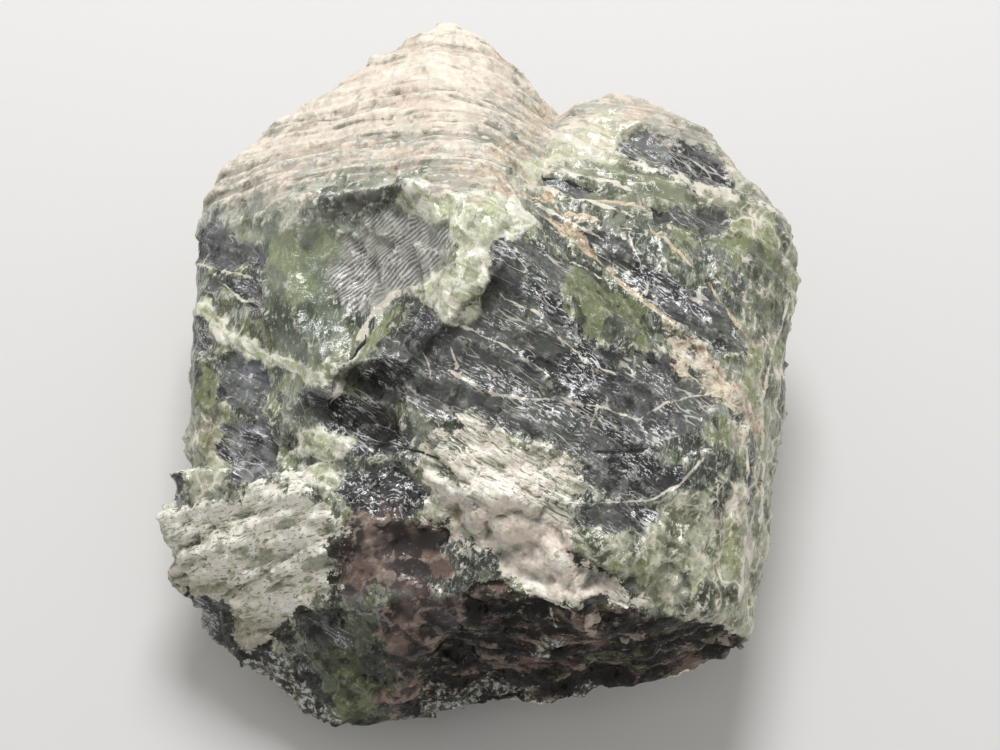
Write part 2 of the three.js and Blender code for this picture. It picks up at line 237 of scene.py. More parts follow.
WINDOWS = [
    [(6.3, -5.6), (8.5, -5.3), (12.1, -5.3), (12.8, -6), (14.4, -6.6), (14.5, -7.4), (13, -8.4),
     (11.3, -8.9), (9.2, -8.8), (7.6, -7.7), (6.6, -6.7)],
    [(6.8, -9.2), (9.9, -9), (12.5, -9.1), (12.5, -10.4), (11.3, -11.1), (8.5, -10.8), (7, -10.1)],
    [(4.5, 13.9), (6.8, 13.7), (8.6, 12.9), (7.8, 12.4), (5.7, 12.8), (4.6, 13.2)],
]
SCALLOPS = [
    (-5.4, 13.4), (-1.8, 13.4), (1.5, 13), (2.9, 12), (4.3, 10.6), (2.9, 9.9), (1.5, 10),
    (0.4, 8.5), (0.7, 6.4), (0, 4.7), (-1.3, 3.7), (-2.6, 4), (-4.1, 5), (-5.2, 6), (-3.4, 6.7),
    (-1.9, 8), (-2.3, 9.5), (-1.9, 11.3), (-3.4, 10.8), (-5.2, 11.3),
]
EAST_PALE = [
    [(2.5, 15.8), (5.7, 17.8), (8.5, 18.8), (11.3, 18.1), (12.3, 17.1), (9.9, 16.9), (9.7, 15.3),
     (11.3, 14.6), (8.5, 15.1), (6.7, 15.8), (5.7, 14.8), (4.6, 14), (2.9, 12.6)],
]
CALM_GREEN = [
    [(-17.8, 9.9), (-14.6, 10.6), (-10.4, 10.6), (-9.7, 9.5), (-10.1, 5.3), (-9.4, 3.9), (-9, 2.5),
     (-10.1, -1), (-12.5, -1.7), (-13.6, 0.1), (-15, 2.2), (-14.6, 5.3), (-15.2, 8.1)],
    [(7.9, 15.1), (11.3, 14.6), (11.7, 13.7), (9.2, 13.7), (8.1, 14.3)],
    [(11.3, 13.7), (13, 14), (14.8, 13.4), (14.5, 12.5), (12, 12.3), (11.1, 12.9)],
]
RIPPLES = [
    (-10, 9.5), (-6.9, 11.3), (-3.4, 11.3), (-1.9, 9.5), (-2, 7.8), (-3.8, 6.4), (-5.9, 5.3),
    (-8.3, 4.6), (-9.7, 5.3), (-10.1, 7.4),
]
BRIGHT_FACETS = [
    [(-12.5, -4.2), (-11, -3.8), (-9.6, -4.2), (-9.4, -5.7), (-10.4, -5.9), (-12.3, -5.7)],
    [(-12.3, -6.2), (-10.8, -5.9), (-9.6, -6.2), (-9.3, -7.7), (-10.4, -8.1), (-12, -8)],
]
NOTCH_STAIN = [
    (5.1, 19.9), (6.2, 19.4), (4.8, 17.9), (3.4, 16.5), (2.7, 15.1), (2.5, 13), (1.5, 12.5),
    (-0.1, 13), (-0.9, 14.4), (0.6, 15.1), (2, 16.2), (3.6, 18),
]
BROWN_LUMPS = [
    (-10.6, -10.4), (-9.3, -9.9), (-8.6, -9), (-7.4, -9.5), (-5.5, -9), (-4.2, -10.2), (-3, -9.6),
    (-1.6, -10.9), (-2.5, -12), (-1.4, -13.2), (-2.2, -14.6), (-1.6, -16), (-4, -16.9),
    (-5.9, -16), (-7, -15), (-8.8, -16), (-10.3, -14.6), (-12.8, -15), (-11.3, -13.2),
    (-12.2, -12), (-9.9, -12),
]
FRONT_BREAK = [
    (-0.9, -15.1), (1.5, -14.1), (3.6, -15.1), (5.7, -16.2), (8.5, -15.7), (11.8, -16.7),
    (14.8, -16.9), (17.9, -18.1), (18.6, -20.2), (12, -22.7), (0.1, -24.1), (-3.8, -24.2),
    (-4.1, -22.3), (-2.7, -19.2), (-0.9, -17.2),
]
FOOT_RIDGE = [
    (-5.8, -15.5), (-2.7, -14.8), (-0.8, -15.3), (-0.9, -17.2), (-3, -18.6), (-4.3, -22.7),
    (-5.8, -23.8), (-6.7, -22.7), (-5.7, -19.9), (-6.7, -17.6),
]
SOFT_LUMPS = [
    (-2.9, -8.4), (-0.6, -8.4), (1.5, -8.7), (4.2, -9.6), (6.3, -10.4), (6.5, -11.8), (7.9, -13),
    (9.9, -14.2), (10.6, -15.3), (8.5, -15.4), (5.7, -15.6), (3.2, -14.6), (1.5, -13.2), (0.1, -11.4),
    (-2.4, -10.6),
]
NETTED = [
    [(12.1, -9), (15.5, -8.3), (17.9, -7.1), (18.1, -1.7), (19.1, 5.3), (18.6, 9.5), (15.5, 11.3),
     (16.9, 12.3), (21.8, 11.3), (23.2, 5.3), (21.8, -7.3), (20, -18.5), (17.9, -18.5),
     (14.8, -18.1), (13, -16.5), (11.3, -15.3), (8.5, -13.7), (6.5, -12), (7.9, -10.8),
     (11.3, -11.5)],
    [(-21.2, -1.7), (-18, -1.3), (-17.3, -4.5), (-17.6, -8.7), (-21.1, -8.7)],
]
DEEP_GREENS = [
    [(6, 8.4), (7.4, 8.3), (9.9, 6.2), (12, 3.9), (11.9, 2.4), (8.6, 2.2), (6.7, 3.9), (6.2, 6)],
    [(19.2, 5.3), (21, 5.6), (22, 3.4), (21.2, 2.2), (19.6, 3.4)],
    [(18.4, 9.6), (21.3, 9.6), (21.6, 6.8), (19, 6.6)],
    [(-21, 1.6), (-18.6, 0.6), (-18.4, -2.6), (-20.8, -2.8)],
    [(1.2, 12.6), (2.6, 12.6), (2.7, 11.8), (1.4, 11.7)],
    [(-10.4, -17.4), (-7.6, -17), (-5.6, -18.5), (-6.3, -20.1), (-5.2, -21.6), (-6.1, -24.2),
     (-9.4, -24.8), (-11, -23.4), (-10.6, -21.5), (-11.6, -19.8)],
]
CLEFTS = [
    [(-12.7, -16.8), (-10.4, -16.4), (-9.2, -18.5), (-9.3, -19.7), (-10.7, -19.3), (-12.1, -18.6)],
    [(-20.8, -15.7), (-19.5, -15.5), (-18.4, -16.9), (-17.3, -18.6), (-18.7, -18.6), (-20.1, -17.2)],
]
# rusty seams, with half their widths
RUSTY_SEAMS = [
    (0.23, [(4.8, 12.6), (5.8, 11.3), (6.9, 10.1), (8.5, 8), (9.7, 6.4), (11.3, 5.5), (12.8, 4.3),
            (14.4, 2.8), (15.8, 1.7), (17.4, -0.3), (18.6, -2), (19.4, -3.6)]),
    (0.08, [(12.1, 10.1), (14.1, 8.5), (15.5, 7.4), (16.3, 6.2), (17.3, 4.8), (18.4, 3.4), (19.4, 2)]),
    (0.10, [(2.7, 13.6), (4.6, 13.2), (6.7, 12.5), (8.5, 12.1), (11.3, 11.7)]),
    (0.08, [(2.8, 12.9), (4.4, 12.3), (6.7, 11.4), (8.6, 10.9), (10.6, 10.2)]),
    (0.13, [(2.9, 12.4), (4.2, 11.6), (5.6, 10.5), (6.9, 9.1)]),
]
# open cracks, with half their widths
CRACKS = [
    (0.11, [(8.4, -5.2), (10.2, -5.3), (12, -5.0)]),
    (0.10, [(4.6, 13.9), (6.2, 13.8), (7.4, 13.2), (8.5, 12.9)]),
    (0.13, [(-8.1, 2.6), (-8.8, 1.6), (-9.3, 0.9)]),
    (0.08, [(-5.8, -5), (-4.2, -5.4), (-3.1, -5.8)]),
]
# pale seams, with half their widths
SEAMS = [
    (0.12, [(5, -17), (5.6, -17.8), (6.3, -18.1)]),
    (0.42, [(5.4, 16.8), (7.4, 16.1), (9.9, 15.3), (12.7, 14.4), (15.5, 13.3), (18.3, 12.3),
            (21.8, 11.3)]),
    (0.13, [(4.4, 13.1), (7.5, 12.2), (10.4, 11.2)]),
    (0.12, [(4.2, 12), (6.2, 10.9), (8.4, 9.8)]),
    (0.20, [(3.6, 15.1), (5.7, 14.4), (8.5, 13.6), (11.3, 12.9)]),
    (0.28, [(-4.7, 6.2), (-6.4, 5.3), (-7.9, 3.6), (-8.9, 1.1), (-9.9, -1.3)]),
    (0.14, [(-4, 5.2), (-2.4, 4.1), (0.7, 2.7), (3.4, 0.9), (5.1, -0.1)]),
    (0.14, [(-1.9, 0.2), (-0.8, -0.4), (1, -1.3), (2.9, -1.5), (5.7, -1.7), (8.5, -2.2),
            (11.3, -3.1)]),
    (0.09, [(-5.3, -1.5), (-2.9, -2.7), (-0.6, -3.4)]),
    (0.07, [(-4.3, 2), (-3.7, 1.3), (-3.4, -0.1)]),
    (0.07, [(-2, 1.8), (-1.3, 0.2)]),
    (0.10, [(0.1, 7.4), (1.8, 5.3), (4.1, 4.5), (5.9, 2.5), (7.8, 1.1), (9.5, 0.3)]),
    (0.08, [(6.7, 8), (11.3, 5.3), (15.5, 2.2), (17.2, 0.1)]),
    (0.11, [(-19.7, 7.8), (-17.8, 7.4), (-15.2, 6.7)]),
    (0.10, [(-17.8, 6.4), (-16.7, 5.3), (-15.6, 5.3)]),
    (0.10, [(4.8, -8.5), (7.8, -9), (12, -8.7), (14.1, -7.6), (15.3, -5.9)]),
    (0.09, [(11.3, -3.1), (13.2, -1.7), (16.2, -1.1)]),
    (0.06, [(7.8, 1.1), (8.5, -1.3), (7.9, -3.4)]),
    (0.07, [(10.4, 9.9), (11.3, 8), (12, 6), (11.7, 5.6)]),
    (0.07, [(12.7, 8), (11.8, 6), (11, 5.3)]),
    (0.16, [(18.6, -3.8), (18.8, -8.7), (18.4, -12.9), (17.9, -17.1)]),
    (0.10, [(21.8, 5.3), (20.7, 2.5), (19.7, -1.7), (20, -6.6), (19.5, -11.5)]),
]


def drawn(spots):
    """Where spots show from the viewing side, in millimetres on the plane through the aim."""
    reach = spots - AIM
    nearer = VIEW_DISTANCE / (VIEW_DISTANCE - reach @ VIEW_BACK)
    return np.stack([reach[:, 0] * nearer, (reach @ VIEW_UP) * nearer], axis=1)


def depth_in(outline, shown_at):
    """How deep each spot lies inside an outline, in millimetres; negative outside."""
    deep = np.full(len(shown_at), np.inf)
    within = np.zeros(len(shown_at), bool)
    for start, end in zip(outline, outline[1:] + outline[:1]):
        side = np.subtract(end, start)
        lean = shown_at - start
        share = np.clip(lean @ side / (side @ side), 0, 1)
        deep = np.minimum(deep, np.linalg.norm(lean - share[:, None] * side, axis=1))
        astride = (start[1] > shown_at[:, 1]) != (end[1] > shown_at[:, 1])
        crossing = start[0] + side[0] * lean[:, 1] / (side[1] or 1)
        within ^= astride & (shown_at[:, 0] < crossing)
    return np.where(within, deep, -deep)


def depth_in_any(outlines, shown_at):
    """How deep each spot lies in the nearest of some outlines."""
    return np.max([depth_in(outline, shown_at) for outline in outlines], axis=0)


spots = relaxed(places(), 2)
move_to(spots)
outward = facings()
lobe_spots = np.stack(
    [0.99 * spots[:, 0] + 0.12 * spots[:, 1], 0.99 * spots[:, 1] - 0.12 * spots[:, 0], spots[:, 2]],
    axis=1,
)
crystal_spots = np.stack([spots @ GROWTH_ACROSS, spots @ GROWTH_AXIS, spots @ GROWTH_UP], axis=1)
slant_spots = np.stack(
    [spots @ FRACTURE_ACROSS, spots @ FRACTURE_AXIS, spots @ FRACTURE_UP], axis=1
)
shown = ease(outward @ VIEW_BACK, 0.02, 0.2)
wander = np.stack(
    [
        0.55 * drift(spots, 2.6, seed=1.3) + 0.28 * drift(spots, 0.9, seed=4.1),
        0.55 * drift(spots, 2.6, seed=7.9) + 0.28 * drift(spots, 0.9, seed=2.2),
    ],
    axis=1,
)
shown_at = drawn(spots) + wander
north = ease(spots[:, 1], 6, 16) * ease(spots[:, 2], 1, 6)


def sort_of(outlines, hidden):
    """A sort's depth on the viewing side, going over to its depth on the hidden sides."""
    return shown * depth_in_any(outlines, shown_at) + (1 - shown) * hidden


NOWHERE = -2
rind = sort_of([RIND_WEST, RIND_EAST], 5 * north - 2.5 + 2.5 * drift(spots, 7, 2, 3.3))
torn_places = [FRACTURED_BAND, LOBE_FIBRES, CREVICE_RIM]
fibres = sort_of(torn_places, 3.5 * drift(crystal_spots / (1.6, 0.7, 1), 4, 2, 8.8) - 0.6)
panes = [GLASS, GLASS_EAST, GLASS_BACK, GLASS_SHELF, PIT, BLACK_GLOSS, *WEST_PANES, *WINDOWS, *CLEFTS]
glass = sort_of(panes, 4 * drift(spots, 6, 2, 5.5) - 0.3 - 2 * north)
pale = sort_of([SCALLOPS, WEST_BAND, *EAST_PALE, *BRIGHT_FACETS], 3.5 * drift(spots, 4, 2, 6.1) - 0.7)
stain = sort_of([NOTCH_STAIN, CREVICE_RIM], 3 * drift(spots, 5, 2, 9.7) - 1.1)
brown = sort_of([BROWN_LUMPS, FOOT_RIDGE], 2.0 * drift(spots, 7, 2, 2.9) - 1.6)
front = sort_of([FRONT_BREAK], 3.2 * ease(-outward[:, 1], 0.55, 0.9) - 1.6 + drift(spots, 5, 2, 4.9))
calm = sort_of(CALM_GREEN, 4 * drift(spots, 6, 2, 1.2) - 1)
ripples = sort_of([RIPPLES], NOWHERE)
# how far the skin turns to the front, smoothed: where the painted shade goes
shade = relaxed(ease(-outward[:, 1], 0.4, 0.75), 8)
sides = np.maximum(ease(spots[:, 0], 14.5, 17.5), ease(-spots[:, 0], 14, 17))
netted = sort_of(NETTED, 3 * drift(spots, 6, 2, 7.1) - 0.2)
soft = sort_of([SOFT_LUMPS], NOWHERE)
gleam = sort_of([BLACK_GLOSS], NOWHERE)
# the pit and the deepest cleft: dug a little deeper, and darkened with painted shade
hollow = shown * ease(depth_in_any([PIT, CLEFTS[0]], shown_at), -0.2, 1.0)
foot = sort_of([FOOT_RIM, CRUMB, LOBE_EDGE], NOWHERE)
deep = sort_of(DEEP_GREENS, 3 * drift(spots, 5, 2, 6.8) - 0.9)
end_on = ease(np.abs(relaxed(outward, 8) @ GROWTH_AXIS), 0.72, 0.9)
LEAF_PIVOT = np.array([-6.0, -9.0, 17.0])
turning = ease(spots[:, 0], -10, -3)[:, None]
slant_pivot = [LEAF_PIVOT @ axis for axis in (FRACTURE_ACROSS, FRACTURE_AXIS, FRACTURE_UP)]
leaf_spots = (1 - turning) * (lobe_spots - LEAF_PIVOT) + turning * (slant_spots - slant_pivot)


def offset_from(courses):
    """How far spots lie from the nearest of some seams, in half widths: to which side, and at all."""
    sided = np.full(count, 9.0)
    nearest = np.full(count, 9.0)
    for width, course in courses:
        for start, end in zip(course, course[1:]):
            side = np.subtract(end, start)
            lean = drawn(spots) + 0.3 * wander - start
            share = np.clip(lean @ side / (side @ side), 0, 1)
            reach = np.linalg.norm(lean - share[:, None] * side, axis=1) / width
            turn = np.sign(side[0] * lean[:, 1] - side[1] * lean[:, 0])
            sided = np.where(reach < nearest, turn * reach, sided)
            nearest = np.minimum(reach, nearest)
    return np.clip(sided, -9, 9), np.clip(nearest + 9 * (1 - shown), 0, 9)


seam_side, seam_reach = offset_from(SEAMS)
rusty_side, rusty_reach = offset_from(RUSTY_SEAMS)
crack_side, crack_reach = offset_from(CRACKS)

# relief, from the broad breaks to the fine flakes
in_rind = ease(rind, -0.5, 0.9)
in_fibres = ease(fibres, -0.3, 0.5)
in_glass = ease(glass, -0.2, 0.3)
in_pale = ease(pale, -0.1, 0.15)
in_brown = ease(brown, -0.3, 0.5)
in_front = ease(front, -0.3, 0.5)
in_calm = ease(calm, -0.2, 0.8)
flats = chips(crystal_spots / (1, 1.5, 1), 3.4, 0.14, 1.7)
small_flats = chips(crystal_spots / (1, 1.4, 1), 1.25, 0.13, 4.4)
along = crystal_spots[:, 1] + 0.35 * drift(spots, 6, seed=6.6)
layer_spots = np.stack([crystal_spots[:, 0] / 11, along, crystal_spots[:, 2] / 11], axis=1)
striae = drift(layer_spots, 0.45, 2, 2.7)
slant_steps = drift(slant_spots / (7, 1, 7), 1.0, 3, 5.3)
leaves = ridges(leaf_spots / (4.5, 0.8, 2), 1.0, 3, 3.1)
coarse_leaves = ridges(leaf_spots / (2.4, 0.9, 1.8), 2.5, 2, 1.4)
blades = chips(leaf_spots / (4.2, 0.62, 1.8), 1.9, 0.22, 3.3)
lumps = drift(spots, 2.2, 3, 5.9)
pillows = ridges(spots / (1.5, 1, 1), 2.2, 1, 8.2)
ledges = drift(spots / (6, 1, 1), 1.1, 3, 2.4)
pits = ease(drift(spots, 0.9, 2, 7.7), 0.25, 0.6)
plain = (1 - in_rind) * (1 - in_fibres) * (1 - in_brown) * (1 - in_front) * (1 - 0.85 * in_calm)
in_soft = ease(soft, -0.3, 0.6)
in_lobe = 1 - turning[:, 0]
torn_relief = 0.10 * leaves + 0.12 * coarse_leaves + blades + 0.3 * small_flats - 0.1
lift = (
    plain * (1 - 0.4 * in_glass) * (1 - 0.7 * sides) * (flats + small_flats)
    + in_rind * (0.26 * striae + 0.12 * lumps)
    + in_fibres * (1 - in_soft) * (1 + 0.35 * in_lobe) * torn_relief
    + in_soft * (-0.55 * pillows + 0.3 * lumps + 0.5 * blades + 0.6 * flats + 0.4 * small_flats)
    + in_brown * (0.45 * pillows + 0.15 * lumps + 0.5 * flats + 0.4 * blades)
    + in_front * (0.8 * ledges + 0.3 * lumps + 0.8 * flats + 0.5 * small_flats)
    - 0.5 * hollow
    + in_glass * (1 - in_front) * 0.28 * slant_steps
    + 0.12 * in_pale * (1 - in_glass)
    - 0.22 * in_glass * shown
    - 0.12 * pits * (1 - in_glass) * (1 - in_calm)
    + 0.1 * ease(-seam_reach, -1.6, -0.2)
    - 0.25 * ease(-crack_reach, -2.0, -0.4)
)
footing = ease(spots[:, 2], 0.05, 0.8)
spots = spots + (lift * footing)[:, None] * relaxed(outward, 6)
spots[:, 2] = np.maximum(spots[:, 2], 0)
move_to(spots)

# ridges and grooves: worn places with painted highlight on the ridges, and painted shade in the
# grooves
broad = relaxed(spots, 14)
crest = np.einsum("ij,ij->i", spots - broad, facings())
crest_fine = np.einsum("ij,ij->i", spots - relaxed(spots, 3), facings())

fields = {
    "rind": rind, "fibres": fibres, "glass": glass, "pale": pale, "stain": stain, "brown": brown,
    "seam_side": seam_side, "seam_reach": seam_reach, "crest": crest, "crest_fine": crest_fine,
    "across": crystal_spots[:, 0], "along": along, "above": crystal_spots[:, 2],
    "leaf_across": leaf_spots[:, 0], "leaf_along": leaf_spots[:, 1], "leaf_above": leaf_spots[:, 2],
    "front": front, "calm": calm, "ripples": ripples, "shade": np.maximum(shade, 0.75 * hollow),
    "netted": netted, "soft": soft, "gleam": gleam, "rusty_side": rusty_side,
    "rusty_reach": rusty_reach, "deep": deep, "end_on": end_on, "crack_side": crack_side,
    "crack_reach": crack_reach, "foot": foot,
    "bend_across": drift(spots, 1.5, 2, 20.3), "bend_along": drift(spots, 1.5, 2, 21.9),
    "bend_above": drift(spots, 1.5, 2, 22.7),
    # random grain too broad to need working out afresh for every ray of light
    "grain_32": mottle(spots, 3.2, 3, 11.1),
    "grain_22": mottle(spots, 2.2, 3, 12.3),
    "grain_16": mottle(spots, 1.6, 3, 13.7),
    "grain_13": mottle(spots / (1.6, 1, 1), 1.3, 2, 23.1, 0.28),
    "grain_10": mottle(spots, 1.0, 2, 24.3, 0.28),
    "grain_9": mottle(crystal_spots / (1.8, 0.8, 1), 0.9, 2, 25.7, 0.28),
    "slant_34": mottle(slant_spots, 3.4, 3, 14.9),
    "slant_17": mottle(slant_spots / (2.4, 1, 1), 1.7, 3, 15.2),
    "leaf_24": mottle(leaf_spots / (1.6, 1, 1), 2.4, 3, 16.4),
    "layer_16": mottle(layer_spots, 1.6, 2, 17.5),
    "leaf_band": mottle(leaf_spots / (3.5, 0.7, 1.5), 1.5, 3, 21.4),
    "ledge_15": mottle(spots / (3.2, 1, 1), 1.5, 3, 18.6),
    "ledge_19": mottle(spots / (3.2, 1.5, 1), 1.9, 3, 19.8),
}
for name, values in fields.items():
    field = skin.attributes.new(name, "FLOAT", "POINT")
    field.data.foreach_set("value", np.asarray(values, np.float32))
for polygon in skin.polygons:
    polygon.use_smooth = True

# Its finish is made in layers, from the clear green stone up to the rind and the pale seams.
# Each sort's depth, roughened by fine grain, gives the broken edge where it gives way to the next.
finish = bpy.data.materials.new("apatite")
finish.use_nodes = True
nodes = finish.node_tree.nodes
links = finish.node_tree.links
nodes.clear()


def feed(socket, value):
    """Links a socket to another, or gives it a plain value."""
    if isinstance(value, bpy.types.NodeSocket):
        links.new(value, socket)
    else:
        socket.default_value = value


def made(kind, inputs, **settings):
    """A new node with its settings and what feeds it."""
    node = nodes.new(kind)
    for name, value in settings.items():
        setattr(node, name, value)
    for key, value in inputs.items():
        feed(node.inputs[key], value)
    return node


def worked(operation, *values):
    """A sum of plain numbers and sockets."""
    return made("ShaderNodeMath", dict(enumerate(values)), operation=operation).outputs[0]


def both(first, second):
    """Two shares taken together."""
    return worked("MULTIPLY", first, second)


def either(first, *others):
    """The greatest of some shares."""
    for other in others:
        first = worked("MAXIMUM", first, other)
    return first


def swayed(value, grain_value, amount, middle=0.5):
    """A value moved up and down by some grain."""
    return worked("MULTIPLY_ADD", worked("SUBTRACT", grain_value, middle), amount, value)


def between(value, low, high, start=0.0, end=1.0):
    """A smooth rise from start to end as a value goes from low to high."""
    inputs = {"Value": value, "From Min": low, "From Max": high, "To Min": start, "To Max": end}
    return made("ShaderNodeMapRange", inputs, interpolation_type="SMOOTHSTEP").outputs["Result"]


def laid(share, under, over):
    """One colour laid over another by a share."""
    under, over = ((*c, 1) if isinstance(c, tuple) else c for c in (under, over))
    inputs = {0: share, 6: under, 7: over}
    return made("ShaderNodeMix", inputs, data_type="RGBA").outputs[2]


def coated(under, *coats):
    """Colours laid on in turn, each where its value goes from low to high, up to its share."""
    for value, low, high, share, over in coats:
        under = laid(between(value, low, high, 0, share), under, over)
    return under


def field_of(name):
    """A value that the mesh carries."""
    return made("ShaderNodeAttribute", {}, attribute_name=name).outputs["Fac"]


def vector_work(operation, first, second, out="Vector"):
    """Sums on directions and places."""
    return made("ShaderNodeVectorMath", {0: first, 1: second}, operation=operation).outputs[out]


in_metres = made("ShaderNodeTexCoord", {}).outputs["Object"]
in_mm = vector_work("MULTIPLY", in_metres, (1 / MM,) * 3)


def measured(*sides):
    """How far a place lies along each of some directions, in millimetres."""
    return [vector_work("DOT_PRODUCT", in_mm, tuple(side), "Value") for side in sides]


def joined(values):
    """Three values as one direction or place."""
    return made("ShaderNodeCombineXYZ", dict(enumerate(values))).outputs[0]


eastward, northward, upward = measured((1, 0, 0), (0, 1, 0), (0, 0, 1))
along_crystal = joined(measured(GROWTH_ACROSS, GROWTH_AXIS, GROWTH_UP))
along_fracture = joined(measured(FRACTURE_ACROSS, FRACTURE_AXIS, FRACTURE_UP))
along_leaves = joined(field_of(name) for name in ("leaf_across", "leaf_along", "leaf_above"))
along_layers = joined(field_of(name) for name in ("across", "along", "above"))
bent = joined(field_of(name) for name in ("bend_across", "bend_along", "bend_above"))


def grain(size, detail=2.0, stretch=None, twist=0.0, roughness=0.55, frame_of=along_crystal):
    """Random grain of a size in millimetres, drawn out by stretch across, along and up."""
    where = in_mm if stretch is None else vector_work("DIVIDE", frame_of, stretch)
    if twist:
        where = vector_work("ADD", where, vector_work("MULTIPLY", bent, (twist,) * 3))
    inputs = {"Vector": where, "Scale": 1 / size, "Detail": detail, "Roughness": roughness}
    return made("ShaderNodeTexNoise", inputs).outputs["Fac"]


def cells(size, stretch=(1, 1, 1), warp=0.0, frame_of=along_crystal):
    """Cells of a size in millimetres: the distance to the nearest crack, a colour for each cell."""
    where = vector_work("DIVIDE", frame_of, stretch)
    if warp:
        where = vector_work("ADD", where, vector_work("MULTIPLY", bent, (warp,) * 3))
    inputs = {"Vector": where, "Scale": 1 / size}
    crack = made("ShaderNodeTexVoronoi", inputs, feature="DISTANCE_TO_EDGE").outputs["Distance"]
    colour = made("ShaderNodeTexVoronoi", inputs, feature="F1").outputs["Color"]
    return crack, colour


def pick_of(colour):
    """One random value from a cell's colour."""
    return made("ShaderNodeSeparateColor", {0: colour}).outputs[0]


torn = worked("SUBTRACT", grain(0.5, 3, roughness=0.7), 0.5)
mottled = worked("SUBTRACT", field_of("grain_16"), 0.5)


def edge_of(name, raggedness=1.6, mottling=0.8, soft=0.06):
    """1 where a sort of stone shows, with a ragged, mottled edge."""
    depth = worked("MULTIPLY_ADD", torn, raggedness, field_of(name))
    depth = worked("MULTIPLY_ADD", mottled, mottling, depth)
    return between(depth, -soft, soft)


rind_here = edge_of("rind", 3.4, 4.0, 0.45)
fibres_here = edge_of("fibres", 2.8, 4.0, 0.15)
glass_here = edge_of("glass", 1.3, 1.6, 0.05)
pale_here = edge_of("pale", 1.1, 1.6, 0.22)
stain_here = edge_of("stain", 3.2, 4.0, 0.5)
brown_here = edge_of("brown", 3.0, 5.0, 0.3)
front_here = edge_of("front", 1.6, 1.8, 0.12)
calm_here = edge_of("calm", 1.2, 2.0, 0.5)
netted_here = edge_of("netted", 2.0, 4.0, 0.5)
deep_here = edge_of("deep", 1.2, 2.2, 0.3)
soft_here = edge_of("soft", 1.6, 2.8, 0.3)
foot_here = edge_of("foot", 1.6, 2.2, 0.15)
ripples_here = edge_of("ripples", 1.6, 2.0, 0.3)
flat_pick = pick_of(cells(1.9, (1, 1.3, 1))[1])
small_cells = cells(0.75, (1, 1.4, 1))[1]
small_pick = pick_of(small_cells)
fine_grain = grain(0.4, 3, roughness=0.7)

# clear green stone: cloudy, in flat-sided cells, with streaks along the growth
DEEP_GREEN = (0.065, 0.085, 0.052)
GREY_GREEN = (0.18, 0.205, 0.16)
CLOUDY_GREEN = (0.33, 0.35, 0.28)
YELLOW_GREEN = (0.25, 0.28, 0.13)
NIGHT_GREEN = (0.045, 0.055, 0.042)
HAZE = (0.59, 0.63, 0.60)
cloud = swayed(field_of("grain_10"), fine_grain, 0.35)
hairs = grain(0.13, 1, stretch=(0.8, 4.0, 1), roughness=0.6)
body = coated(
    DEEP_GREEN,
    (field_of("grain_32"), 0.42, 0.62, 1, GREY_GREEN),
    (cloud, 0.5, 0.66, 1, CLOUDY_GREEN),
    (flat_pick, 0.72, 0.8, 0.7, YELLOW_GREEN),
    (flat_pick, 0.3, 0.24, 0.85, NIGHT_GREEN),
    (small_pick, 0.78, 0.86, 0.6, CLOUDY_GREEN),
    (small_pick, 0.24, 0.17, 0.7, NIGHT_GREEN),
    (hairs, 0.60, 0.70, 0.4, HAZE),
    (hairs, 0.40, 0.30, 0.4, NIGHT_GREEN),
)
BOTTLE_GREEN = (0.065, 0.088, 0.055)
MOSS = (0.185, 0.215, 0.16)
GRASS_GREEN = (0.27, 0.315, 0.165)
MIST = (0.34, 0.37, 0.32)
smooth_green = coated(
    BOTTLE_GREEN,
    (field_of("grain_32"), 0.40, 0.58, 1, MOSS),
    (field_of("grain_22"), 0.5, 0.64, 0.75, GRASS_GREEN),
    (field_of("slant_34"), 0.56, 0.68, 0.3, MIST),
)
body = laid(both(calm_here, 0.85), body, smooth_green)
streaks = grain(0.28, 2, stretch=(0.6, 3.4, 0.8), roughness=0.65)
in_the_south = between(northward, 1, 7, 1, 0.35)
body = laid(both(between(streaks, 0.56, 0.68, 0, 0.5), in_the_south), body, HAZE)

# a calmer olive green on the shoulder of the smaller crystal
OLIVE = (0.29, 0.30, 0.19)
on_shoulder = both(between(northward, 4, 8), between(eastward, 2, 5))
body = laid(both(on_shoulder, between(cloud, 0.40, 0.60, 0.2, 0.6)), body, OLIVE)

# grey-green knobs, where the green stone comes up to the rind, with painted light in the grooves
# between them, which lie in the shadow of the rind's step
KNOB_GREY = (0.20, 0.225, 0.18)
KNOB_PALE = (0.54, 0.545, 0.46)
GROOVE_FILL_LIGHT = (0.66, 0.69, 0.54)
KNOB_TIP = (0.80, 0.79, 0.70)
knobby = between(field_of("grain_13"), 0.38, 0.60)
knobs = coated(
    laid(knobby, KNOB_GREY, KNOB_PALE),
    # painted light in the grooves
    (field_of("crest"), -0.02, -0.14, 0.8, GROOVE_FILL_LIGHT),
    (fine_grain, 0.55, 0.64, 0.7, KNOB_TIP),
    (fine_grain, 0.42, 0.34, 0.6, NIGHT_GREEN),
)
by_the_rind = between(field_of("rind"), -3.2, -1.2, 0, 0.9)
body = laid(both(by_the_rind, between(knobby, 0, 1, 0.35, 1)), body, knobs)

